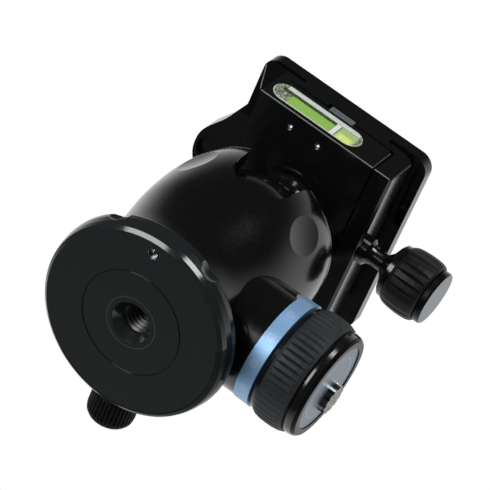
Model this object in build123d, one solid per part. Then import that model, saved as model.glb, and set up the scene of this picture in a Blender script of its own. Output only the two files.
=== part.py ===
from build123d import *
import os

# Tripod ball head. Millimetres, +Z up the body axis, origin at the centre of the base's mounting face.
# +X carries the main lock knob and the clamp knob, -Y the drop notch and the tube level, +Y the pan lock.

os.makedirs("parts", exist_ok=True)

# ---- driving dimensions ----
PLAY = 0.05                # running clearance of a pin in its bore, on the radius

BASE_FACE_R = 29.0
BASE_FLANGE_R = 31.0
BASE_TOP = 8.0
THREAD_R = 9.525 / 2       # 3/8-16 tripod thread, 9.525 mm across
THREAD_DEPTH = 13.0
BUSH_R = 6.6               # steel thread bush let into the base
SCALLOP_ANGLES = (-125, -64, 27, 88, 150)
SET_SCREW_AT = (-2.3, -25.2)
SET_SCREW_R = 1.8

HUB_R = 14.0
HUB_TOP = 17.5
RETAINER_R = 17.5

HOUSING_BOTTOM = 8.3
HOUSING_TOP = 71.6
HOUSING_PROFILE = [        # outer radius, height
    (26.2, 8.3), (25.3, 10.6), (24.9, 14.0), (24.8, 18.5), (25.3, 24.5), (26.5, 32.0), (27.8, 39.5),
    (28.5, 47.0), (28.6, 55.0), (28.0, 61.5), (26.8, 67.0),
]
BORE_R = 22.5
FLOOR_TOP = 21.0
LIP_BOTTOM = 68.0
DIMPLE_Z = 54.0
DIMPLE_DEPTH = 0.9
DIMPLE_SPHERE = 50.0       # shallow cut by a large ball: an oval taller than wide on the round wall
DIMPLE_ANGLES = (-135, -46, 46, 135)

BALL_R = 22.0
BALL_Z = 57.5
SEAT_R = 22.3
NECK_R = 8.4
SPIGOT_R = 6.0             # the stem's end, which the clamp turns on
SPIGOT_TOP = 94.0
NOTCH_HALF = 9.5
NOTCH_Z = 57.6             # centre of the round bottom of the notch
NOTCH_FLARE = [(9.5, 57.6), (10.3, 65.0), (11.6, 69.0), (14.0, 73.0)]

KNOB_Z = 28.0
BOSS_R = 17.3
BOSS_END = 32.4
RING_R = 17.6
RING_END = 37.3
SPINDLE_R = 3.0
KNOB_START = 37.6
GRIP_START = 39.4
GRIP_R = 18.65
GRIP_END = 49.5
KNOB_FACE = 53.2
DIAL_AT = (6.0, 4.0)       # across and up from the knob axis
DIAL_R = 4.8

PAN_Z = 14.5
PAN_START = 35.7           # inner face of the pan-lock knob
PAN_KNOB_R = 7.5
PAN_SCREW_R = 2.0

CLAMP_BOTTOM = 86.8
CLAMP_FRONT = -30.0
CLAMP_BACK = 30.0
CHANNEL_Z = 99.2
CLAMP_TOP = 102.9
SPLIT_X = 19.6             # fixed block ends here, the jaw starts a gap later
JAW_GAP = 0.5
JAW_SIDE = 26.5
EDGE = 0.3                 # bevel round the ends of the clamp's two halves

CLAMP_KNOB_Z = 91.2
CLAMP_SPINDLE_R = 2.2
CLAMP_GRIP_START = 39.7
CLAMP_GRIP_END = 51.2
CLAMP_KNOB_FACE = 53.7

VIAL_R = 4.5
VIAL_Z = 93.0
VIAL_Y = -25.55
VIAL_ENDS = (-21.2, 11.5)
TAB_AT = (-30.2, 0.0)
ROUND_LEVEL_R = 4.3

PLATE_HALF = 30.45
PLATE_FRONT = -30.2
PLATE_BACK = 40.2
PLATE_TOP = 108.3
PLATE_FLANGE = 103.9
PLATE_BOTTOM = 99.3
PLATE_CORNER = 5.0
TAIL_BOTTOM_HALF = 19.0    # Arca-type dovetail, 38 mm across its foot
TAIL_NECK_HALF = 16.0
CAMERA_THREAD_R = 6.35 / 2
CAMERA_AT = (0.0, 5.0)


# ---- helpers ----
def save(name, *solids):
    """Write one node: a single solid, or like solids that share a node."""
    shape = solids[0] if len(solids) == 1 else Compound(children=list(solids))
    shape.label = name
    export_step(shape, f"parts/{name}.step")


def turned(points):
    """Solid of revolution about Z from (radius, height) points."""
    return revolve(Plane.XZ * make_face(Polyline(*points, close=True)), Axis.Z)


def drum(radius, low, high):
    """Upright cylinder between two heights."""
    return Pos(0, 0, low) * Cylinder(radius, high - low, align=(Align.CENTER, Align.CENTER, Align.MIN))


def tube(outer, inner, low, high):
    return drum(outer, low, high) - drum(inner, low - 1, high + 1)


def block(x0, x1, y0, y1, z0, z1):
    """Box between opposite corners."""
    return Pos((x0 + x1) / 2, (y0 + y1) / 2, (z0 + z1) / 2) * Box(x1 - x0, y1 - y0, z1 - z0)


def prism_y(points, y0, y1):
    """(x, z) outline carried along Y."""
    face = make_face(Polyline(*points, close=True))
    return extrude(Plane.XZ.offset(-y0) * face, -(y1 - y0))


def bevelled(bar):
    """Bar along Y with a small bevel round both of its ends."""
    ends = bar.faces().sort_by(Axis.Y)
    return chamfer(ends[0].edges() + ends[-1].edges(), EDGE)


def along_x(shape, height):
    """Stand a Z-axis shape on the X axis at a height; its z becomes x."""
    return Pos(0, 0, height) * Rot(0, 90, 0) * shape


def along_y(shape, height):
    """Lay a Z-axis shape along +Y at a height; its z becomes y."""
    return Pos(0, 0, height) * Rot(-90, 0, 0) * shape


def around(shape, count, start=0.0):
    """Copies of a shape spaced evenly about Z."""
    return [Rot(0, 0, start + k * 360 / count) * shape for k in range(count)]


def ribs(radius, low, high, count, width, depth):
    """V grooves to cut along a drum of a given radius."""
    reach = 1.0
    half = width / 2 * (depth + reach) / depth
    outline = Polyline((radius - depth, 0), (radius + reach, half), (radius + reach, -half), close=True)
    return around(Pos(0, 0, low) * extrude(make_face(outline), high - low), count)


# ---- base, fixed to the tripod ----
base = turned([
    (0, 0), (BASE_FACE_R, 0), (30.1, 0.9), (30.6, 2.4), (BASE_FLANGE_R, 4.6), (BASE_FLANGE_R, 6.4),
    (BASE_FLANGE_R - 0.5, 7.4), (29.7, BASE_TOP), (HUB_R, BASE_TOP), (HUB_R, HUB_TOP), (0, HUB_TOP),
])
base -= tube(16.75, 16.25, -1, 0.35)
base -= drum(BUSH_R, -1, THREAD_DEPTH)
scallop = Pos(BASE_FLANGE_R + 3.0, 0, 6.0) * (Sphere(4.7) + drum(4.7, 0, 6))
for angle in SCALLOP_ANGLES:
    base -= Rot(0, 0, angle) * scallop
base -= Pos(*SET_SCREW_AT, 0) * drum(SET_SCREW_R, -1, 7)
for hole in around(Pos(10, 0, 0) * drum(1.25, HUB_TOP - 6, HUB_TOP + 1), 3, 90):
    base -= hole
save("base_plate", base)

bush = drum(BUSH_R, 0.1, THREAD_DEPTH)
bush -= drum(THREAD_R, -1, THREAD_DEPTH + 1)
bush -= turned([(0, -1), (6.4, -1), (6.4, 0.1), (THREAD_R, 2.4), (0, 2.4)])
save("thread_bush", bush)

set_screw = Pos(*SET_SCREW_AT, 0) * (drum(SET_SCREW_R, 1.6, 7) - extrude(
    Plane.XY.offset(1.6) * RegularPolygon(0.95, 6), 1.6))
save("base_set_screw", set_screw)

save("pan_washer", tube(22.0, 15.0, BASE_TOP, HOUSING_BOTTOM))

retainer = tube(RETAINER_R, 3.0, HUB_TOP, HUB_TOP + 2.4)
retainer_screw = Pos(10, 0, 0) * turned([
    (0, HUB_TOP - 5.5), (1.25, HUB_TOP - 5.5), (1.25, HUB_TOP + 1.0), (2.6, HUB_TOP + 2.4),
    (0, HUB_TOP + 2.4)])
retainer_screws = around(retainer_screw, 3, 90)
for screw in retainer_screws:
    retainer -= screw
save("pan_retainer", retainer)
save("retainer_screws", *retainer_screws)

# ---- housing, turns about Z on the base ----
outline = Spline(*HOUSING_PROFILE) + Spline((26.8, 67.0), (25.9, 69.6), (23.9, 71.3), (22.2, HOUSING_TOP))
rest_of_outline = Polyline((22.2, HOUSING_TOP), (0, HOUSING_TOP), (0, HOUSING_BOTTOM), HOUSING_PROFILE[0])
shell = revolve(Plane.XZ * make_face(outline + rest_of_outline), Axis.Z)
shell += along_x(drum(BOSS_R, 10, BOSS_END), KNOB_Z)
for angle in DIMPLE_ANGLES:
    shell -= Rot(0, 0, angle) * Pos(28.6 - DIMPLE_DEPTH + DIMPLE_SPHERE, 0, DIMPLE_Z) * Sphere(DIMPLE_SPHERE)
shell -= drum(BORE_R, HOUSING_BOTTOM - 1, LIP_BOTTOM)
shell -= Pos(0, 0, BALL_Z) * Sphere(SEAT_R + 0.2)
shell -= along_x(drum(SPINDLE_R + PLAY, 10, 40), KNOB_Z)
shell -= along_y(drum(PAN_SCREW_R + PLAY, 10, 30), PAN_Z)
notch = prism_y([*NOTCH_FLARE, *[(-x, z) for x, z in reversed(NOTCH_FLARE)]], -40, 0)
notch += along_y(drum(NOTCH_HALF, -40, 0), NOTCH_Z)
bevel = along_y(turned([(0, -40), (NOTCH_HALF + 13.4, -40), (NOTCH_HALF, -26.6), (0, -26.6)]), NOTCH_Z)
notch += bevel & block(-30, 30, -40, -26, 40, NOTCH_Z)
shell -= notch
save("housing", shell)

floor = tube(BORE_R - 0.01, HUB_R + PLAY, HOUSING_BOTTOM, FLOOR_TOP)
floor -= drum(RETAINER_R + 0.5, HUB_TOP - 0.1, FLOOR_TOP + 1)
floor -= along_y(drum(PAN_SCREW_R + PLAY, 10, 30), PAN_Z)
save("bearing_floor", floor)

seat_ring = tube(BORE_R, 15, 61.0, LIP_BOTTOM) - Pos(0, 0, BALL_Z) * Sphere(SEAT_R)
seat_ring -= notch
save("upper_ball_ring", seat_ring)

cup = drum(BORE_R - 0.3, 33.0, 44.5) - drum(8, 30, 50) - Pos(0, 0, BALL_Z) * Sphere(SEAT_R)
save("pressure_cup", cup)

wedge = prism_y([(-8, 22.5), (9, 22.5), (9, 30.2), (-8, 32.7)], -8, 8)
wedge -= along_x(drum(SPINDLE_R + PLAY, -20, 20), KNOB_Z)
save("lock_wedge", wedge)

scale_ring = along_x(tube(RING_R, SPINDLE_R + 3, BOSS_END, RING_END), KNOB_Z)
save("scale_ring", scale_ring)

# ---- pan lock ----
save("pan_screw", along_y(drum(PAN_SCREW_R, 16.3, 39), PAN_Z))
save("brake_shoe", along_y(drum(PAN_SCREW_R, HUB_R - 0.5, 16.0), PAN_Z) - drum(HUB_R + PLAY, 8, 20))
pan_knob = turned([
    (0, 28.5), (4.0, 28.5), (4.0, PAN_START), (PAN_KNOB_R - 1.2, PAN_START), (PAN_KNOB_R, PAN_START + 1.2),
    (PAN_KNOB_R, PAN_START + 7.9), (PAN_KNOB_R - 0.25, PAN_START + 9.4), (PAN_KNOB_R - 0.9, PAN_START + 10.4),
    (PAN_KNOB_R - 2.8, PAN_START + 11.0), (0, PAN_START + 11.2)])
pan_knob -= drum(PAN_SCREW_R, 20, 39)
for cut in ribs(PAN_KNOB_R, PAN_START + 0.8, PAN_START + 8.6, 36, 0.7, 0.45):
    pan_knob -= cut
save("pan_knob", along_y(pan_knob, PAN_Z))

# ---- main lock knob, turns about X ----
spindle = drum(SPINDLE_R, -12, 47)
save("main_spindle", along_x(spindle, KNOB_Z))

core = turned([
    (0, 32.9), (5.6, 32.9), (5.6, KNOB_START), (16.6, KNOB_START), (17.3, KNOB_START + 0.6),
    (17.3, GRIP_START), (16.2, GRIP_START), (16.2, GRIP_END), (0, GRIP_END)])
core -= drum(SPINDLE_R, 0, 47)
save("main_knob_core", along_x(core, KNOB_Z))

grip = turned([
    (16.21, GRIP_START), (17.8, GRIP_START), (18.3, GRIP_START + 1.0), (18.6, 42.0), (GRIP_R, 44.0),
    (18.6, 46.2), (18.3, 48.2), (17.8, GRIP_END), (16.21, GRIP_END)])
for cut in ribs(GRIP_R, GRIP_START - 1, GRIP_END + 1, 54, 1.1, 0.7):
    grip -= cut
save("main_knob_grip", along_x(grip, KNOB_Z))

cap = turned([
    (0, GRIP_END), (16.8, GRIP_END), (16.8, 49.9), (17.3, 50.2), (17.4, 51.0), (17.2, 52.2),
    (16.9, 52.9), (16.3, KNOB_FACE + 0.3), (14.2, KNOB_FACE + 0.3), (14.2, 51.0), (0, 51.0)])
dial_bore = Pos(-DIAL_AT[1], DIAL_AT[0], 0) * drum(DIAL_R + PLAY, GRIP_END - 1, 60)
cap -= dial_bore
save("main_knob_cap", along_x(cap, KNOB_Z))

face_disc = drum(14.2, 51.0, KNOB_FACE) - dial_bore
save("main_knob_face", along_x(face_disc, KNOB_Z))

dial = drum(DIAL_R, GRIP_END + PLAY, KNOB_FACE + 1.8)
for cut in ribs(DIAL_R, KNOB_FACE, KNOB_FACE + 3, 12, 1.2, 0.7):
    dial -= cut
save("friction_dial", along_x(Pos(-DIAL_AT[1], DIAL_AT[0], 0) * dial, KNOB_Z))

# ---- ball, tilts about X ----
ball = Pos(0, 0, BALL_Z) * Sphere(BALL_R)
ball += turned([
    (0, BALL_Z), (NECK_R, BALL_Z), (NECK_R, 83.4), (9.0, 84.6), (10.2, 85.4), (10.8, 86.2), (12.6, 86.3),
    (12.6, CLAMP_BOTTOM), (SPIGOT_R, CLAMP_BOTTOM), (SPIGOT_R, SPIGOT_TOP), (0, SPIGOT_TOP)])
ball -= drum(3.0 + PLAY, 80, 100)
save("ball_stem", ball)

# ---- clamp, turns about the stem ----
clamp = bevelled(prism_y([
    (-22.3, CLAMP_BOTTOM), (SPLIT_X, CLAMP_BOTTOM), (SPLIT_X, CHANNEL_Z - 1.2), (SPLIT_X - 1.2, CHANNEL_Z),
    (-19.4, CHANNEL_Z), (-16.1, 102.5), (-16.4, CLAMP_TOP), (-26.8, CLAMP_TOP), (-28.3, 101.3), (-28.3, 98.7),
    (-23.3, CLAMP_BOTTOM + 0.8)], CLAMP_FRONT, CLAMP_BACK))

tab_low = CLAMP_BOTTOM
tab_high = CLAMP_BOTTOM + 6.2
TAB_SIDE = [(-22.0, -25.6), (-25.9, -19.8), (-29.2, -13.2), (-32.9, -7.8), (-34.9, -3.8)]
tab_line = Spline(*TAB_SIDE, (-35.4, 0), *[(x, -y) for x, y in reversed(TAB_SIDE)])
tab_face = make_face(tab_line + Line((-22.0, 25.6), (-22.0, -25.6)))
clamp += extrude(Plane.XY.offset(tab_low) * tab_face, tab_high - tab_low)

clamp -= Pos(*TAB_AT, 0) * drum(ROUND_LEVEL_R + 0.05, tab_low + 2.6, tab_high + 1)
clamp -= Pos(*TAB_AT, 0) * drum(ROUND_LEVEL_R, tab_low - 1, tab_low + 1.6)
vial_lay = Pos(0, VIAL_Y, VIAL_Z) * Rot(0, 90, 0)


def capsule(radius, x0, x1):
    """Round-ended bar along X on the tube level's axis."""
    bar = vial_lay * drum(radius, x0 + radius, x1 - radius)
    for x in (x0 + radius, x1 - radius):
        bar += Pos(x, VIAL_Y, VIAL_Z) * Sphere(radius)
    return bar


pocket_r = VIAL_R + PLAY
pocket = capsule(pocket_r, VIAL_ENDS[0] - PLAY, VIAL_ENDS[1] + PLAY)
pocket_face = Pos(sum(VIAL_ENDS) / 2, VIAL_Z) * SlotOverall(
    VIAL_ENDS[1] - VIAL_ENDS[0] + 2 * PLAY, 2 * pocket_r)
pocket += extrude(Plane.XZ.offset(-VIAL_Y) * pocket_face, 10)
clamp -= pocket

catch_x = (-4.0, 4.7)
clamp -= block(catch_x[0] - 0.1, catch_x[1] + 0.1, -40, -18.5, 98.05, 110)
clamp -= drum(SPIGOT_R + PLAY, CLAMP_BOTTOM - 1, SPIGOT_TOP + PLAY)
clamp -= drum(3.1, 90, 97)
clamp -= drum(5.1, 95.0, 110)
GRUB_SPOTS = [(-9.4, -24.8), (0.9, -24.7)]
for x, y in GRUB_SPOTS:
    clamp -= Pos(x, y, 0) * drum(1.25, CLAMP_BOTTOM - 1, VIAL_Z - VIAL_R + 0.3)
PIN_YS = (-13.0, 13.0)
for y in PIN_YS:
    clamp -= Pos(0, y, 0) * along_x(drum(2.0 + PLAY, 4, 30), CLAMP_KNOB_Z)
clamp -= along_x(drum(CLAMP_SPINDLE_R + PLAY, 7.2, 30), CLAMP_KNOB_Z)
clamp -= block(-4.5, 4.5, 24, 40, CHANNEL_Z - 2.4, CHANNEL_Z + 1)
save("clamp_body", clamp)

save("clamp_bolt", drum(3.0, 84, 95.0) + drum(5.0, 95.0, 98.6) - extrude(
    Plane.XY.offset(96.0) * RegularPolygon(2.9, 6), 5))

jaw_x0 = SPLIT_X + JAW_GAP
jaw = bevelled(prism_y([
    (jaw_x0, CLAMP_BOTTOM), (JAW_SIDE - 0.8, CLAMP_BOTTOM), (JAW_SIDE, CLAMP_BOTTOM + 0.8), (JAW_SIDE, 98.8),
    (JAW_SIDE - 0.5, 100.2), (JAW_SIDE - 1.8, 101.4), (JAW_SIDE - 4.0, 102.2), (17.2, 102.6), (16.3, 102.4),
    (19.2, 99.5), (jaw_x0, 99.0)], CLAMP_FRONT, CLAMP_BACK))
jaw -= along_x(drum(CLAMP_SPINDLE_R + PLAY, 10, 30), CLAMP_KNOB_Z)
for y in PIN_YS:
    jaw -= Pos(0, y, 0) * along_x(drum(2.0, 10, JAW_SIDE - 2.5), CLAMP_KNOB_Z)
save("movable_jaw", jaw)

save("jaw_pins", *[Pos(0, y, 0) * along_x(drum(2.0, 8, JAW_SIDE - 2.5), CLAMP_KNOB_Z) for y in PIN_YS])

# ---- clamp knob, turns about X and carries the jaw ----
clamp_spindle = drum(CLAMP_SPINDLE_R, 7.6, 46.0)
save("clamp_spindle", along_x(clamp_spindle, CLAMP_KNOB_Z))

clamp_core = turned([
    (0, JAW_SIDE + 0.1), (4.6, JAW_SIDE + 0.1), (4.6, 28.6), (3.4, 29.6), (3.0, 31.0), (3.0, 34.5),
    (4.6, 35.9), (7.8, 37.2), (8.8, 37.9), (9.0, 39.5), (7.4, 39.5), (7.4, CLAMP_GRIP_END),
    (0, CLAMP_GRIP_END)])
clamp_core -= drum(CLAMP_SPINDLE_R, 0, 46)
save("clamp_knob_core", along_x(clamp_core, CLAMP_KNOB_Z))

clamp_grip = turned([
    (7.4, CLAMP_GRIP_START), (9.3, CLAMP_GRIP_START), (9.9, 40.9), (10.2, 42.5), (10.4, 45.5), (10.35, 47.8),
    (10.15, 49.5), (9.8, 50.6), (9.2, CLAMP_GRIP_END), (7.4, CLAMP_GRIP_END)])
for cut in ribs(10.4, CLAMP_GRIP_START - 1, CLAMP_GRIP_END + 1, 24, 1.3, 0.8):
    clamp_grip -= cut
save("clamp_knob_grip", along_x(clamp_grip, CLAMP_KNOB_Z))

clamp_cap = turned([
    (0, CLAMP_GRIP_END), (8.6, CLAMP_GRIP_END), (8.95, 51.6), (8.95, 53.1), (8.6, CLAMP_KNOB_FACE),
    (0, CLAMP_KNOB_FACE)])
save("clamp_knob_cap", along_x(clamp_cap, CLAMP_KNOB_Z))

# ---- levels ----
fluid_r = VIAL_R - 1.0
fluid_ends = (VIAL_ENDS[0] + 6.0, VIAL_ENDS[1] - 2.6)
save("tube_level", capsule(VIAL_R, *VIAL_ENDS) - capsule(fluid_r, *fluid_ends))
bubble = Pos(4.6, VIAL_Y, VIAL_Z + 0.9) * Sphere(2.2)
save("tube_level_fluid", capsule(fluid_r - 0.02, fluid_ends[0] + 0.02, fluid_ends[1] - 0.02) - bubble)

level = Pos(*TAB_AT, 0) * (drum(ROUND_LEVEL_R, tab_low + 2.6, tab_high + 0.4))
level_cavity = Pos(*TAB_AT, 0) * drum(ROUND_LEVEL_R - 0.9, tab_low + 3.4, tab_high - 0.5)
level_fluid = Pos(*TAB_AT, 0) * drum(ROUND_LEVEL_R - 0.92, tab_low + 3.42, tab_high - 0.52)
save("round_level", level - level_cavity)
save("round_level_fluid", level_fluid)

save("grub_screws", *[
    Pos(x, y, 0) * (drum(1.25, CLAMP_BOTTOM + 0.5, VIAL_Z - VIAL_R - 0.15) - extrude(
        Plane.XY.offset(CLAMP_BOTTOM + 0.5) * RegularPolygon(0.7, 6), 0.6)) for x, y in GRUB_SPOTS])

# ---- safety catch, a sprung slide in the front of the channel ----
catch = block(*catch_x, CLAMP_FRONT, -22.0, 98.1, 100.7)
save("safety_catch", catch)

# ---- quick-release plate ----
def pad(x, height):
    """Long rubber pad standing on the floor of its recess in the plate's top."""
    outline = Pos(x, (PLATE_FRONT + PLATE_BACK) / 2) * RectangleRounded(12, 58, 2)
    return extrude(Plane.XY.offset(PLATE_TOP - 0.8) * outline, height)


plate = extrude(Plane.XY.offset(PLATE_FLANGE) * (Pos(0, (PLATE_FRONT + PLATE_BACK) / 2) * RectangleRounded(
    2 * PLATE_HALF, PLATE_BACK - PLATE_FRONT, PLATE_CORNER)), PLATE_TOP - PLATE_FLANGE)
plate = chamfer(plate.edges().group_by(Axis.Z)[-1], 0.3)
plate += prism_y([
    (-TAIL_BOTTOM_HALF, PLATE_BOTTOM), (TAIL_BOTTOM_HALF, PLATE_BOTTOM), (TAIL_NECK_HALF, 102.3),
    (TAIL_NECK_HALF, PLATE_FLANGE + 0.5), (-TAIL_NECK_HALF, PLATE_FLANGE + 0.5), (-TAIL_NECK_HALF, 102.3)],
    PLATE_FRONT, PLATE_BACK - 1.0)
plate -= block(-5.2, 5.2, -40, -14, PLATE_BOTTOM - 1, 101.2)
recess = extrude(Plane.XY.offset(PLATE_BOTTOM - 1) * (Pos(0, CAMERA_AT[1]) * SlotOverall(
    36, 19, rotation=90)), 4.7)
plate -= recess
plate -= extrude(Plane.XY.offset(100) * (Pos(0, CAMERA_AT[1]) * SlotOverall(24, 7.0, rotation=90)), 12)
STOP_Y = 36.0
plate -= Pos(0, STOP_Y, 0) * drum(1.5, 90, 106.5)
PAD_XS = (-20.0, 20.0)
for x in PAD_XS:
    plate -= pad(x, 3.0)
save("release_plate", plate)
save("plate_pads", *[pad(x, 1.1) for x in PAD_XS])

camera_screw = Pos(*CAMERA_AT, 0) * (
    drum(8.0, 99.9, 102.9) + drum(2.6, 102.9, 108.7) + drum(CAMERA_THREAD_R, 108.7, 113.9))
camera_screw -= Pos(*CAMERA_AT, 0) * block(-0.8, 0.8, -9, 9, 99.0, 101.2)
save("camera_screw", camera_screw)

save("stop_screw", Pos(0, STOP_Y, 0) * (drum(1.5, PLATE_BOTTOM, 105.5) + drum(
    2.8, PLATE_BOTTOM - 2.2, PLATE_BOTTOM)))
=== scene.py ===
import math

import bmesh
import bpy
from mathutils import Matrix, Vector


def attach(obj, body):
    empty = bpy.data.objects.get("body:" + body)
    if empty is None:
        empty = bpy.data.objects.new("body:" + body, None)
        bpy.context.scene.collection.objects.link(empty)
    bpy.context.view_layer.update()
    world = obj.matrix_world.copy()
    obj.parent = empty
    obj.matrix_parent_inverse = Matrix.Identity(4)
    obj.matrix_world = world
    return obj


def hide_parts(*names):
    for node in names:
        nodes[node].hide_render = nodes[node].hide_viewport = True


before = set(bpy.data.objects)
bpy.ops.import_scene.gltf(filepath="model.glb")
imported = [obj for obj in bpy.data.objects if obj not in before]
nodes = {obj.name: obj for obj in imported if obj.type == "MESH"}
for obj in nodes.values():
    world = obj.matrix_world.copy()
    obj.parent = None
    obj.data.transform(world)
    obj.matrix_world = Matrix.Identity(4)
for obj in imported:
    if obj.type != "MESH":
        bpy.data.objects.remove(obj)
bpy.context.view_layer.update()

# The view: rows are image right, image down and depth, in the part's own frame.
RIGHT = Vector((0.7880, -0.3297, 0.5199))
DOWN = Vector((0.5642, 0.7248, -0.3955))
DEPTH = Vector((-0.2465, 0.6050, 0.7572))
CAMERA_AT = Vector((0.2556, -0.6219, -0.7192))
LENS = 254.2
SENSOR = 36.0

# The middle of a noise texture's output, where most of its values lie.
NOISE_LOW = 0.3
NOISE_HIGH = 0.7
NOISE_ROUGHNESS = 0.55

PLASTIC_IOR = 1.45
GRAIN_DEPTH = 0.0002       # relief of a surface's fine grain
THREAD_DEPTH = 0.0004      # relief of the camera screw's thread


# ---- node helpers ----
def new_material(name):
    mat = bpy.data.materials.new(name)
    mat.use_nodes = True
    tree = mat.node_tree
    tree.nodes.clear()
    out = tree.nodes.new("ShaderNodeOutputMaterial")
    return mat, tree, out


def add(tree, kind, **values):
    node = tree.nodes.new(kind)
    for key, value in values.items():
        setattr(node, key, value)
    return node


def noise(tree, scale, detail=4.0, stretch=None):
    """Noise in the part's own coordinates, cells per metre."""
    coord = add(tree, "ShaderNodeTexCoord")
    mapping = add(tree, "ShaderNodeMapping")
    if stretch:
        mapping.inputs["Scale"].default_value = stretch
    tex = add(tree, "ShaderNodeTexNoise")
    tex.inputs["Scale"].default_value = scale
    tex.inputs["Detail"].default_value = detail
    tex.inputs["Roughness"].default_value = NOISE_ROUGHNESS
    tree.links.new(coord.outputs["Object"], mapping.inputs["Vector"])
    tree.links.new(mapping.outputs["Vector"], tex.inputs["Vector"])
    return tex.outputs["Fac"]


def ramp(tree, fac, low, high):
    """Colour that runs from low to high with the noise."""
    node = add(tree, "ShaderNodeValToRGB")
    node.color_ramp.elements[0].position = NOISE_LOW
    node.color_ramp.elements[1].position = NOISE_HIGH
    node.color_ramp.elements[0].color = (*low, 1)
    node.color_ramp.elements[1].color = (*high, 1)
    tree.links.new(fac, node.inputs["Fac"])
    return node.outputs["Color"]


def remap(tree, value, start, end, low, high, curve="LINEAR"):
    """Value taken from the range start to end into the range low to high."""
    node = add(tree, "ShaderNodeMapRange", interpolation_type=curve)
    node.inputs["From Min"].default_value = start
    node.inputs["From Max"].default_value = end
    node.inputs["To Min"].default_value = low
    node.inputs["To Max"].default_value = high
    tree.links.new(value, node.inputs["Value"])
    return node.outputs["Result"]


def spread(tree, fac, low, high):
    """Number that runs from low to high with the noise."""
    return remap(tree, fac, NOISE_LOW, NOISE_HIGH, low, high)


def calc(tree, operation, *values):
    """Maths node on numbers or sockets."""
    node = add(tree, "ShaderNodeMath", operation=operation)
    for socket, value in zip(node.inputs, values):
        if isinstance(value, (int, float)):
            socket.default_value = value
        else:
            tree.links.new(value, socket)
    return node.outputs["Value"]


def band(tree, value, centre, half, edge):
    """1 where a value is within half of the centre, falling softly to 0 outside."""
    away = calc(tree, "ABSOLUTE", calc(tree, "SUBTRACT", value, centre))
    return remap(tree, away, half - edge, half + edge, 1.0, 0.0, "SMOOTHSTEP")


def between(tree, value, low, high, edge):
    """1 between two values, with soft ends."""
    return band(tree, value, (low + high) / 2, (high - low) / 2, edge)


def dulled(tree, mask, share):
    """Gloss factor: 1 outside the mask, lowered by a share inside it."""
    return calc(tree, "SUBTRACT", 1.0, calc(tree, "MULTIPLY", mask, share))


def tint(tree, fac, colour, other):
    """Colour socket changed to another colour where fac is 1."""
    node = add(tree, "ShaderNodeMixRGB")
    tree.links.new(fac, node.inputs["Fac"])
    tree.links.new(colour, node.inputs["Color1"])
    node.inputs["Color2"].default_value = (*other, 1)
    return node.outputs["Color"]


def place(tree):
    """The part's own x, y and z."""
    coord = add(tree, "ShaderNodeTexCoord")
    split = add(tree, "ShaderNodeSeparateXYZ")
    tree.links.new(coord.outputs["Object"], split.inputs["Vector"])
    return split.outputs["X"], split.outputs["Y"], split.outputs["Z"]


def polar(tree, across, up):
    """Radius and angle from two distances."""
    squares = calc(tree, "ADD", calc(tree, "MULTIPLY", across, across), calc(tree, "MULTIPLY", up, up))
    return calc(tree, "SQRT", squares), calc(tree, "ARCTAN2", up, across)


def blend_shaders(tree, fac, first, second):
    """First shader where fac is 0, second where it is 1."""
    node = add(tree, "ShaderNodeMixShader")
    tree.links.new(fac, node.inputs["Fac"])
    tree.links.new(first, node.inputs[1])
    tree.links.new(second, node.inputs[2])
    return node.outputs["Shader"]


def coated(tree, under, gloss):
    """Shader under a clear plastic surface that reflects more at a flat angle."""
    shine = add(tree, "ShaderNodeBsdfGlossy")
    shine.inputs["Roughness"].default_value = gloss
    fresnel = add(tree, "ShaderNodeFresnel")
    fresnel.inputs["IOR"].default_value = PLASTIC_IOR
    return blend_shaders(tree, fresnel.outputs["Fac"], under, shine.outputs["BSDF"])


def surface(name, low, high, rough, metallic=0.0, grain=900.0, bump=0.05, bump_scale=6000.0,
            stretch=None, specular=0.5, marks=None, gloss=None, ridges=None):
    """Principled surface whose colour, roughness and relief all vary a little."""
    mat, tree, out = new_material(name)
    shader = add(tree, "ShaderNodeBsdfPrincipled")
    shader.inputs["Metallic"].default_value = metallic
    shader.inputs["Specular IOR Level"].default_value = specular
    if gloss:
        share = gloss(tree)
        tree.links.new(calc(tree, "MULTIPLY", share, specular), shader.inputs["Specular IOR Level"])
        tree.links.new(calc(tree, "MULTIPLY", share, metallic), shader.inputs["Metallic"])
    broad = noise(tree, grain, 5.0, stretch)
    fine = noise(tree, bump_scale, 2.0, stretch)
    colour = ramp(tree, broad, low, high)
    if marks:
        colour = marks(tree, colour)
    tree.links.new(colour, shader.inputs["Base Color"])
    tree.links.new(spread(tree, broad, *rough), shader.inputs["Roughness"])
    relief = add(tree, "ShaderNodeBump")
    relief.inputs["Strength"].default_value = bump
    relief.inputs["Distance"].default_value = GRAIN_DEPTH
    tree.links.new(fine, relief.inputs["Height"])
    normal = relief.outputs["Normal"]
    if ridges:
        screw = add(tree, "ShaderNodeBump")
        screw.inputs["Strength"].default_value = 1.0
        screw.inputs["Distance"].default_value = THREAD_DEPTH
        tree.links.new(ridges(tree), screw.inputs["Height"])
        tree.links.new(normal, screw.inputs["Normal"])
        normal = screw.outputs["Normal"]
    tree.links.new(normal, shader.inputs["Normal"])
    tree.links.new(shader.outputs["BSDF"], out.inputs["Surface"])
    return mat


def see_through(name, colour, gloss=0.05):
    """Clear plastic: passes light straight through and reflects at its surface."""
    mat, tree, out = new_material(name)
    clear = add(tree, "ShaderNodeBsdfTransparent")
    paler = tuple(min(1, c * 1.04) for c in colour)
    tree.links.new(ramp(tree, noise(tree, 500.0), colour, paler), clear.inputs["Color"])
    tree.links.new(coated(tree, clear.outputs["BSDF"], gloss), out.inputs["Surface"])
    return mat


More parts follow.
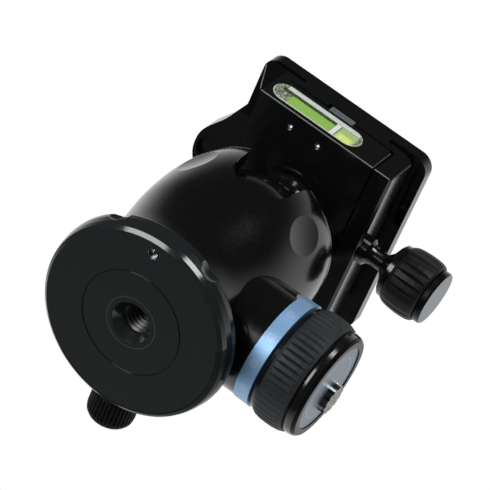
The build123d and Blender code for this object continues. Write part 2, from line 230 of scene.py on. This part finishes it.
# ---- printed and machined marks, and a painted bevel highlight ----
KNOB_Z = 0.028             # axis of the main knob
RING_R = 0.0176
RING_X = 0.0349            # middle of the blue ring's width
MARK_STEP = math.radians(30)
MARK_START = math.radians(2)
MARK_R = 0.00105           # the fine circle round each dot
MARK_LINE = (0.00016, 0.00012)     # half width and soft edge of that circle
MARK_STRENGTH = 0.55
DOT_SIZE = (0.0004, 0.0003)        # radius and soft edge
DOT_STRENGTH = 0.3
MARK_PAINT = (0.62, 0.66, 0.74)

FACE_CIRCLE_R = 0.0105
FACE_LINE = (0.0003, 0.0002)
FACE_PAINT = (0.19, 0.25, 0.30)

MAIN_CAP_FRONT = 0.0524    # only the cap's end lies beyond this x
MAIN_CAP_DULL = 0.93

DIAL_FRONT = 0.0549        # only the dial's end lies beyond this x
DIAL_PAINT = (0.06, 0.053, 0.046)

CLAMP_KNOB_Z = 0.0912      # axis of the clamp knob
CLAMP_CAP_FRONT = 0.05355  # only the cap's end lies beyond this x
CLAMP_DISC = (0.0085, 0.0001)      # radius and soft edge of the satin disc
CLAMP_RIM_PAINT = (0.01, 0.01, 0.011)

BEVEL_Y = -0.02972         # the clamp's front bevel lies before this y
BEVEL_Z = 0.08707          # its lower edge lies below this height
SIDE_SLOPE = (0.912, 0.41)         # x and z weights whose sum stays the same along the sloping side
SIDE_REACH = 0.01495
# colour of the painted highlight on the clamp's front bevel
BEVEL_HIGHLIGHT_PAINT = (0.20, 0.20, 0.195)

SIDE_X = -0.02225          # the sloping side lies beyond this x
SIDE_Z = 0.0964
SIDE_HALF = 0.0034
SIDE_EDGE = 0.0002
SIDE_FRONT_Y = -0.019

CAMERA_Y = 0.005           # axis of the camera screw
CAMERA_PITCH = 0.00127
CAMERA_THREAD_Z = 0.1088   # the thread starts above the plate

BACK_START = 0.008         # distance behind the axis, by the view's own down
RIM_R = 0.0284
RIM_DULL = 0.9

BUSH_LINE_R = 0.0082
BUSH_LINE = (0.00012, 0.00008)
BUSH_LINE_STRENGTH = 0.7
BUSH_PAINT = (0.06, 0.065, 0.065)
BASE_FACE_Z = 0.0001       # only the base's flat face lies below this height


def ring_marks(tree, colour):
    """Pale round marks every 30 degrees round the blue ring: a fine circle about a dot."""
    x, y, z = place(tree)
    angle = polar(tree, y, calc(tree, "SUBTRACT", z, KNOB_Z))[1]
    turned = calc(tree, "MODULO", calc(tree, "ADD", angle, MARK_START + 12 * MARK_STEP), MARK_STEP)
    along = calc(tree, "MULTIPLY", calc(tree, "SUBTRACT", turned, MARK_STEP / 2), RING_R)
    distance = polar(tree, along, calc(tree, "SUBTRACT", x, RING_X))[0]
    circle = calc(tree, "MULTIPLY", band(tree, distance, MARK_R, *MARK_LINE), MARK_STRENGTH)
    dot = calc(tree, "MULTIPLY", band(tree, distance, 0.0, *DOT_SIZE), DOT_STRENGTH)
    return tint(tree, calc(tree, "MAXIMUM", circle, dot), colour, MARK_PAINT)


def face_print(tree, colour):
    """Fine pale circle printed on the main knob's face."""
    y, z = place(tree)[1:]
    radius = polar(tree, y, calc(tree, "SUBTRACT", z, KNOB_Z))[0]
    return tint(tree, band(tree, radius, FACE_CIRCLE_R, *FACE_LINE), colour, FACE_PAINT)


def cap_rim(tree, colour):
    """The clamp knob's cap is black outside its satin disc."""
    x, y, z = place(tree)
    radius = polar(tree, y, calc(tree, "SUBTRACT", z, CLAMP_KNOB_Z))[0]
    front = calc(tree, "GREATER_THAN", x, CLAMP_CAP_FRONT)
    disc = calc(tree, "MULTIPLY", band(tree, radius, 0.0, *CLAMP_DISC), front)
    return tint(tree, calc(tree, "SUBTRACT", 1.0, disc), colour, CLAMP_RIM_PAINT)


def dial_end(tree):
    """Gloss factor of the friction dial: its outer end is dark, with flecks of bright metal."""
    x = place(tree)[0]
    end = calc(tree, "GREATER_THAN", x, DIAL_FRONT)
    return dulled(tree, end, spread(tree, noise(tree, 750.0, 2.0), 1.0, 0.5))


def dial_dark(tree, colour):
    """Colour of the dial's outer end."""
    x = place(tree)[0]
    return tint(tree, calc(tree, "GREATER_THAN", x, DIAL_FRONT), colour, DIAL_PAINT)


def cap_front(tree):
    """Gloss factor of the main knob's cap: its outer end round the disc is satin."""
    x = place(tree)[0]
    return dulled(tree, calc(tree, "GREATER_THAN", x, MAIN_CAP_FRONT), MAIN_CAP_DULL)


def painted_bevel_highlight(tree, colour):
    """Painted highlight along the clamp's front bevel, on its lower edge and its sloping side."""
    x, y, z = place(tree)
    front = calc(tree, "LESS_THAN", y, BEVEL_Y)
    below = calc(tree, "LESS_THAN", z, BEVEL_Z)
    across, up = SIDE_SLOPE
    reach = calc(tree, "ADD", calc(tree, "MULTIPLY", x, across), calc(tree, "MULTIPLY", z, up))
    side = calc(tree, "LESS_THAN", reach, SIDE_REACH)
    edge = calc(tree, "MULTIPLY", front, calc(tree, "MAXIMUM", below, side))
    # the painted highlight's strength is broken up by noise
    highlight_breakup = spread(tree, noise(tree, 600.0, 2.0), 0.9, 0.6)
    return tint(tree, calc(tree, "MULTIPLY", edge, highlight_breakup), colour, BEVEL_HIGHLIGHT_PAINT)


def camera_thread(tree):
    """Helical ridges of the quarter-inch thread above the plate."""
    x, y, z = place(tree)
    angle = polar(tree, x, calc(tree, "SUBTRACT", y, CAMERA_Y))[1]
    turns = calc(tree, "SUBTRACT", calc(tree, "MULTIPLY", z, 2 * math.pi / CAMERA_PITCH), angle)
    wave = calc(tree, "MULTIPLY_ADD", calc(tree, "SINE", turns), 0.5, 0.5)
    return calc(tree, "MULTIPLY", wave, calc(tree, "GREATER_THAN", z, CAMERA_THREAD_Z))


def satin_side(tree):
    """Gloss factor of the fixed clamp block: its sloping outer side is dull except on the tab."""
    x, y, z = place(tree)
    side = calc(tree, "LESS_THAN", x, SIDE_X)
    height = band(tree, z, SIDE_Z, SIDE_HALF, SIDE_EDGE)
    front = calc(tree, "LESS_THAN", y, SIDE_FRONT_Y)
    return dulled(tree, side, calc(tree, "MAXIMUM", height, front))


def dull_back_rim(tree):
    """Gloss factor of the base: full on the rim's front half, satin round the back."""
    x, y = place(tree)[:2]
    back = calc(tree, "ADD", calc(tree, "MULTIPLY", x, DOWN.x), calc(tree, "MULTIPLY", y, DOWN.y))
    outside = calc(tree, "GREATER_THAN", polar(tree, x, y)[0], RIM_R)
    dull = calc(tree, "MULTIPLY", calc(tree, "GREATER_THAN", back, BACK_START), outside)
    return dulled(tree, dull, RIM_DULL)


def bush_line(tree, colour):
    """Fine bright line on the base's flat face, round the thread bush."""
    x, y, z = place(tree)
    radius = polar(tree, x, y)[0]
    low = calc(tree, "LESS_THAN", z, BASE_FACE_Z)
    line = calc(tree, "MULTIPLY", band(tree, radius, BUSH_LINE_R, *BUSH_LINE), low)
    return tint(tree, calc(tree, "MULTIPLY", line, BUSH_LINE_STRENGTH), colour, BUSH_PAINT)


# ---- materials: the two colours that the grain runs between, then the range of roughness ----
CLAMP_TONES = ((0.0028, 0.0030, 0.0032), (0.0044, 0.0047, 0.0050))
CAP_TONES = ((0.003, 0.0034, 0.0036), (0.005, 0.0054, 0.0057))
STEEL_TONES = ((0.42, 0.43, 0.44), (0.60, 0.61, 0.62))
POLISHED = (0.11, 0.16)

body_black = surface("body_black", (0.0018, 0.0020, 0.0021), (0.0028, 0.0030, 0.0031), (0.14, 0.19),
                     bump=0.005)
base_black = surface("base_black", (0.0093, 0.0113, 0.0116), (0.0113, 0.0138, 0.0143), POLISHED,
                     bump=0.02, specular=0.6, marks=bush_line, gloss=dull_back_rim)
clamp_black = surface("clamp_black", *CLAMP_TONES, POLISHED, bump=0.006)
pan_black = surface("pan_black", (0.005, 0.0051, 0.0053), (0.0075, 0.0077, 0.0080), (0.45, 0.55),
                    bump=0.03, specular=0.06)
steel = surface("steel", *STEEL_TONES, (0.22, 0.34), 1.0, 1500.0)
screw_steel = surface("screw_steel", *STEEL_TONES, (0.22, 0.34), 1.0, 1500.0, ridges=camera_thread)
dark_steel = surface("dark_steel", (0.10, 0.10, 0.105), (0.16, 0.16, 0.165), (0.28, 0.4), 0.5, 1500.0)
chrome = surface("chrome", (0.20, 0.21, 0.22), (0.55, 0.56, 0.56), (0.10, 0.20), 1.0, 900.0,
                 marks=dial_dark, gloss=dial_end)
# side_black and jaw_black carry the painted highlight on the clamp's front bevel
side_black = surface("side_black", (0.0032, 0.0034, 0.0036), (0.0050, 0.0053, 0.0056), POLISHED,
                     bump=0.006, marks=painted_bevel_highlight, gloss=satin_side)
jaw_black = surface("jaw_black", *CLAMP_TONES, POLISHED, bump=0.006, marks=painted_bevel_highlight)
thread_black = surface("thread_black", (0.010, 0.0115, 0.012), (0.016, 0.0175, 0.018), (0.3, 0.38))
brass = surface("brass", (0.5, 0.36, 0.14), (0.66, 0.5, 0.24), (0.25, 0.38), 1.0)
seat_plastic = surface("seat_plastic", (0.02, 0.02, 0.02), (0.03, 0.03, 0.03), (0.4, 0.55))
ring_blue = surface("ring_blue", (0.24, 0.45, 0.72), (0.28, 0.50, 0.78), (0.35, 0.41), 0.5, 2500.0,
                    stretch=(3.0, 0.4, 0.4), specular=1.0, marks=ring_marks)
face_grey = surface("face_grey", (0.104, 0.142, 0.178), (0.122, 0.164, 0.202), (0.3, 0.42), 0.8, 2500.0,
                    marks=face_print)
cap_grey = surface("cap_grey", (0.076, 0.098, 0.122), (0.092, 0.116, 0.142), (0.25, 0.35), 0.8, 2500.0,
                   marks=cap_rim)
cap_black = surface("cap_black", *CAP_TONES, (0.12, 0.18), bump=0.01)
cap_rimmed = surface("cap_rimmed", *CAP_TONES, (0.13, 0.20), bump=0.01, gloss=cap_front)
rubber = surface("rubber", (0.009, 0.0115, 0.0137), (0.017, 0.0208, 0.024), (0.5, 0.66), bump=0.25,
                 bump_scale=3500.0, specular=0.35)
knob_rubber = surface("knob_rubber", (0.0028, 0.0033, 0.0040), (0.0060, 0.0068, 0.0078), (0.42, 0.52),
                      bump=0.2, bump_scale=3500.0, specular=0.25)
catch_grey = surface("catch_grey", (0.13, 0.135, 0.16), (0.17, 0.175, 0.20), (0.3, 0.4), 0.3)
fluid_green = surface("fluid_green", (0.26, 0.46, 0.08), (0.34, 0.54, 0.11), (0.15, 0.25), 0.0, 300.0)
clear = see_through("clear", (0.86, 0.92, 0.86))

LOOKS = {
    "base_plate": base_black, "thread_bush": base_black, "base_set_screw": steel,
    "pan_washer": seat_plastic, "pan_retainer": steel, "retainer_screws": dark_steel,
    "housing": body_black, "bearing_floor": base_black, "upper_ball_ring": seat_plastic,
    "scale_ring": ring_blue, "pressure_cup": seat_plastic, "lock_wedge": steel, "main_spindle": steel,
    "main_knob_core": cap_black, "main_knob_grip": rubber, "main_knob_cap": cap_rimmed,
    "main_knob_face": face_grey, "friction_dial": chrome, "pan_screw": steel, "pan_knob": pan_black,
    "brake_shoe": brass, "ball_stem": clamp_black, "clamp_body": side_black, "clamp_bolt": dark_steel,
    "tube_level": clear, "tube_level_fluid": fluid_green, "round_level": clear,
    "round_level_fluid": fluid_green, "grub_screws": steel, "movable_jaw": jaw_black,
    "jaw_pins": steel, "clamp_spindle": steel, "clamp_knob_core": cap_black, "clamp_knob_grip": knob_rubber,
    "clamp_knob_cap": cap_grey, "safety_catch": catch_grey, "release_plate": clamp_black,
    "plate_pads": rubber, "stop_screw": dark_steel, "camera_screw": screw_steel,
}
for name, look in LOOKS.items():
    mesh = nodes[name].data
    mesh.materials.clear()
    mesh.materials.append(look)


# ---- pieces of this scene ----
def swept(name, sections, look):
    """Closed solid through a row of sections that have equally many points."""
    mesh = bmesh.new()
    rows = [[mesh.verts.new(point) for point in section] for section in sections]
    for first, second in zip(rows, rows[1:]):
        for a in range(len(first)):
            b = (a + 1) % len(first)
            mesh.faces.new((first[a], first[b], second[b], second[a]))
    mesh.faces.new(rows[0][::-1])
    mesh.faces.new(rows[-1])
    bmesh.ops.recalc_face_normals(mesh, faces=mesh.faces)
    data = bpy.data.meshes.new(name)
    mesh.to_mesh(data)
    mesh.free()
    piece = bpy.data.objects.new(name, data)
    bpy.context.collection.objects.link(piece)
    data.materials.append(look)
    return piece


# ---- threads ----
THREAD_STEPS = 72          # sections in a turn
CREST_SHARE = 0.06         # half of the crest's width, as a share of the pitch
ROOT_SHARE = 0.44
THINNEST = 0.05            # height left where the ridge runs out, as a share

TRIPOD_WALL_R = 0.0048
TRIPOD_CREST_R = 0.00405
TRIPOD_PITCH = 0.0015875
TRIPOD_ENDS = (0.0027, 0.0124)

SET_SCREW_AT = (-0.0023, -0.0252)
SET_SCREW_WALL_R = 0.00183
SET_SCREW_CREST_R = 0.0015
SET_SCREW_PITCH = 0.0007
SET_SCREW_ENDS = (0.0004, 0.0014)


def thread(name, centre, root_r, crest_r, pitch, ends, body, look):
    """Helical ridge of an internal thread, from its root on the bore's wall to its crest."""
    low, high = ends
    count = int((high - low) / pitch * THREAD_STEPS)
    flat = pitch * CREST_SHARE
    half = pitch * ROOT_SHARE
    sections = []
    for k in range(count + 1):
        angle = 2 * math.pi * k / THREAD_STEPS
        z = low + pitch * k / THREAD_STEPS
        fade = min(1.0, k / THREAD_STEPS, (count - k) / THREAD_STEPS)
        crest = root_r + (crest_r - root_r) * max(fade, THINNEST)
        profile = [(root_r, -half), (crest, -flat), (crest, flat), (root_r, half)]
        sections.append([(centre[0] + r * math.cos(angle), centre[1] + r * math.sin(angle), z + dz)
                         for r, dz in profile])
    piece = swept(name, sections, look)
    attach(piece, body)


thread("tripod_thread", (0, 0), TRIPOD_WALL_R, TRIPOD_CREST_R, TRIPOD_PITCH, TRIPOD_ENDS,
       "base", thread_black)
thread("set_screw_thread", SET_SCREW_AT, SET_SCREW_WALL_R, SET_SCREW_CREST_R, SET_SCREW_PITCH, SET_SCREW_ENDS,
       "base", steel)

# ---- tube level ----
VIAL_Z = 0.093
VIAL_LEFT = -0.0211
VIAL_RIGHT = 0.0114
VIAL_HALF = 0.00445
VIAL_FRONT = -0.02995
VIAL_REAR = -0.0256
VIAL_EDGE = 0.0004         # rounding of the front edge
VIAL_STEPS = 20            # points in each round end
VIAL_GLOSS = 0.06

END_LEFT = -0.0144         # the speckled ends lie outside these two
END_RIGHT = 0.0096
END_EDGE = 0.0003
END_TONES = ((0.10, 0.13, 0.07), (0.50, 0.58, 0.44))

# painted highlight round the level's front edge: half width and soft edge, strength, colour
VIAL_HIGHLIGHT_LINE = (0.0005, 0.0002)
VIAL_HIGHLIGHT_STRENGTH = 0.8
VIAL_HIGHLIGHT_PAINT = (0.6, 0.66, 0.58)

LEVEL_COLOURS_AND_PAINTED_LIGHT = [
    # x range, height range, colour, strength, softness
    # the fluid's own colours, with painted light and shade rows marked below
    (-0.0146, 0.0014, 0.0889, 0.0939, (0.29, 0.57, 0.085), 0.88, 0.0003),
    # painted shade: dark line along the fluid's top edge
    (-0.0186, 0.0014, 0.0935, 0.0949, (0.008, 0.018, 0.005), 1.0, 0.0002),
    # painted reflection: pale streak along the level's upper side
    (-0.0176, 0.0096, 0.0950, 0.0970, (0.66, 0.70, 0.66), 0.95, 0.0002),
    # painted reflection: pale line along the level's lower side
    (-0.0190, 0.0090, 0.0884, 0.0891, (0.46, 0.56, 0.40), 0.9, 0.0002),
    (0.0015, 0.0032, 0.0884, 0.0950, (0.80, 0.88, 0.82), 0.95, 0.0003),
    (0.0034, 0.0098, 0.0884, 0.0950, (0.44, 0.58, 0.24), 0.9, 0.0004),
    (0.0042, 0.0090, 0.0888, 0.0918, (0.80, 0.95, 0.22), 0.9, 0.0008),
]


def outline_distance(tree, x, z):
    """Distance from the straight line between the centres of the level's round ends."""
    middle = (VIAL_LEFT + VIAL_RIGHT) / 2
    reach = (VIAL_RIGHT - VIAL_LEFT) / 2 - VIAL_HALF
    aside = calc(tree, "ABSOLUTE", calc(tree, "SUBTRACT", x, middle))
    past = calc(tree, "MAXIMUM", calc(tree, "SUBTRACT", aside, reach), 0.0)
    return polar(tree, past, calc(tree, "SUBTRACT", z, VIAL_Z))[0]


def level_plastic():
    """Clear acrylic with speckled pale ends and the fluid's colours painted on. It has painted highlights
    along its front edge and its upper and lower sides, and painted shade along the fluid's top edge.
    """
    mat, tree, out = new_material("level_plastic")
    x, _, z = place(tree)
    speckle = noise(tree, 1100.0, 3.0)
    cloud = spread(tree, noise(tree, 700.0, 3.0), 1.0, 0.72)
    ends = calc(tree, "SUBTRACT", 1.0, between(tree, x, END_LEFT, END_RIGHT, END_EDGE))
    cover = calc(tree, "MULTIPLY", ends, spread(tree, speckle, 0.25, 0.95))
    colour = ramp(tree, speckle, *END_TONES)
    for left, right, low, high, paint, strength, soft in LEVEL_COLOURS_AND_PAINTED_LIGHT:
        spot = calc(tree, "MULTIPLY", between(tree, x, left, right, soft), between(tree, z, low, high, soft))
        colour = tint(tree, calc(tree, "MULTIPLY", spot, cloud), colour, paint)
        cover = calc(tree, "MAXIMUM", cover, calc(tree, "MULTIPLY", spot, strength))
    # Painted highlight: a pale line follows the whole outline, the light caught by the polished front edge.
    line = band(tree, outline_distance(tree, x, z), VIAL_HALF, *VIAL_HIGHLIGHT_LINE)
    rim = calc(tree, "MULTIPLY", line, VIAL_HIGHLIGHT_STRENGTH)
    colour = tint(tree, rim, colour, VIAL_HIGHLIGHT_PAINT)
    cover = calc(tree, "MAXIMUM", cover, rim)
    glow = add(tree, "ShaderNodeBsdfDiffuse")
    tree.links.new(colour, glow.inputs["Color"])
    clear_part = add(tree, "ShaderNodeBsdfTransparent")
    body = blend_shaders(tree, cover, clear_part.outputs["BSDF"], glow.outputs["BSDF"])
    tree.links.new(coated(tree, body, VIAL_GLOSS), out.inputs["Surface"])
    return mat


def stadium(half, left, right, depth):
    """Round-ended outline at one depth, about the level's axis."""
    points = []
    for centre, start in ((right - half, -math.pi / 2), (left + half, math.pi / 2)):
        for k in range(VIAL_STEPS + 1):
            angle = start + math.pi * k / VIAL_STEPS
            points.append((centre + half * math.cos(angle), depth, VIAL_Z + half * math.sin(angle)))
    return points


def level_block():
    """Acrylic body of the tube level: fills its pocket and has a rounded front edge."""
    steps = ((VIAL_REAR, 0.0), (VIAL_FRONT + VIAL_EDGE, 0.0),
             (VIAL_FRONT + VIAL_EDGE * 0.3, VIAL_EDGE * 0.3), (VIAL_FRONT, VIAL_EDGE))
    sections = [stadium(VIAL_HALF - inset, VIAL_LEFT + inset, VIAL_RIGHT - inset, depth)
                for depth, inset in steps]
    piece = swept("tube_level_body", sections, level_plastic())
    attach(piece, "clamp")
    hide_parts("tube_level")


level_block()

# ---- stage ----
FLOOR_HALF = 3
FLOOR_DROP = 0.0002        # keeps the floor clear of the base's flat face


def pale_floor():
    """Diffuse from above and clear from below, where the photo's camera stands."""
    mat, tree, out = new_material("floor_pale")
    matte = add(tree, "ShaderNodeBsdfDiffuse")
    matte.inputs["Color"].default_value = (0.9, 0.9, 0.9, 1)
    below = add(tree, "ShaderNodeBsdfTransparent")
    geometry = add(tree, "ShaderNodeNewGeometry")
    both = blend_shaders(tree, geometry.outputs["Backfacing"], matte.outputs["BSDF"], below.outputs["BSDF"])
    tree.links.new(both, out.inputs["Surface"])
    return mat


def add_floor():
    """Floor that only the camera sees."""
    corners = [(-FLOOR_HALF, -FLOOR_HALF, 0), (FLOOR_HALF, -FLOOR_HALF, 0),
               (FLOOR_HALF, FLOOR_HALF, 0), (-FLOOR_HALF, FLOOR_HALF, 0)]
    floor_mesh = bpy.data.meshes.new("floor")
    floor_mesh.from_pydata(corners, [], [(0, 1, 2, 3)])
    floor = bpy.data.objects.new("floor", floor_mesh)
    floor.location.z = -FLOOR_DROP
    bpy.context.collection.objects.link(floor)
    floor_mesh.materials.append(pale_floor())
    floor.visible_diffuse = False
    floor.visible_glossy = False
    floor.visible_transmission = False
    floor.visible_shadow = False


add_floor()

TENT_TOWARDS = (RIGHT * 0.2 + DOWN * 0.5 + DEPTH * 0.84).normalized()
TENT_START = -0.05         # cosine of the angle to that direction where the white starts
TENT_FULL = 0.58
TENT_DARK = 0.05
FILL = 0.3                 # light on matt surfaces


def background(tree, strength, colour=None):
    node = add(tree, "ShaderNodeBackground")
    node.inputs["Color"].default_value = (1, 1, 1, 1)
    node.inputs["Strength"].default_value = strength
    if colour is not None:
        tree.links.new(colour, node.inputs["Color"])
    return node.outputs["Background"]


def add_world():
    """White behind the head. Reflections see a light tent: white behind it, dark before it."""
    world = bpy.data.worlds.new("studio")
    bpy.context.scene.world = world
    world.use_nodes = True
    tree = world.node_tree
    tree.nodes.clear()
    out = add(tree, "ShaderNodeOutputWorld")
    path = add(tree, "ShaderNodeLightPath")
    coord = add(tree, "ShaderNodeTexCoord")
    facing = add(tree, "ShaderNodeVectorMath", operation="DOT_PRODUCT")
    facing.inputs[1].default_value = TENT_TOWARDS
    tree.links.new(coord.outputs["Generated"], facing.inputs[0])
    tent = remap(tree, facing.outputs["Value"], TENT_START, TENT_FULL, TENT_DARK, 1.0, "SMOOTHSTEP")
    glossy = path.outputs["Is Glossy Ray"]
    lit = blend_shaders(tree, glossy, background(tree, FILL), background(tree, 1.0, tent))
    through = calc(tree, "MAXIMUM", path.outputs["Is Camera Ray"], path.outputs["Is Transmission Ray"])
    tree.links.new(blend_shaders(tree, through, lit, background(tree, 1.0)), out.inputs["Surface"])


add_world()

LAMP_AIM = Vector((0, 0, 0.055))   # middle of the head
LAMP_DISTANCE = 0.7


def lamp(name, right, up, toward, size, watts):
    """Area lamp placed by the view's own directions and aimed at the middle of the head."""
    direction = (RIGHT * right - DOWN * up - DEPTH * toward).normalized()
    data = bpy.data.lights.new(name, "AREA")
    data.shape = "DISK"
    data.size = size
    data.energy = watts
    obj = bpy.data.objects.new(name, data)
    obj.location = LAMP_AIM + direction * LAMP_DISTANCE
    obj.rotation_euler = direction.to_track_quat("Z", "Y").to_euler()
    bpy.context.collection.objects.link(obj)


lamp("front_left", -0.58, 0.36, 0.73, 0.42, 3.7)
lamp("front_right", 0.6, 0.58, 0.55, 0.26, 2.0)

camera_data = bpy.data.cameras.new("camera")
camera_data.lens = LENS
camera_data.sensor_width = SENSOR
camera_data.clip_start = 0.01
camera_data.clip_end = 20.0
camera = bpy.data.objects.new("camera", camera_data)
camera.matrix_world = Matrix((
    (RIGHT.x, -DOWN.x, -DEPTH.x, CAMERA_AT.x),
    (RIGHT.y, -DOWN.y, -DEPTH.y, CAMERA_AT.y),
    (RIGHT.z, -DOWN.z, -DEPTH.z, CAMERA_AT.z),
    (0, 0, 0, 1),
))
bpy.context.collection.objects.link(camera)
bpy.context.scene.camera = camera
bpy.context.scene.view_settings.view_transform = "Standard"
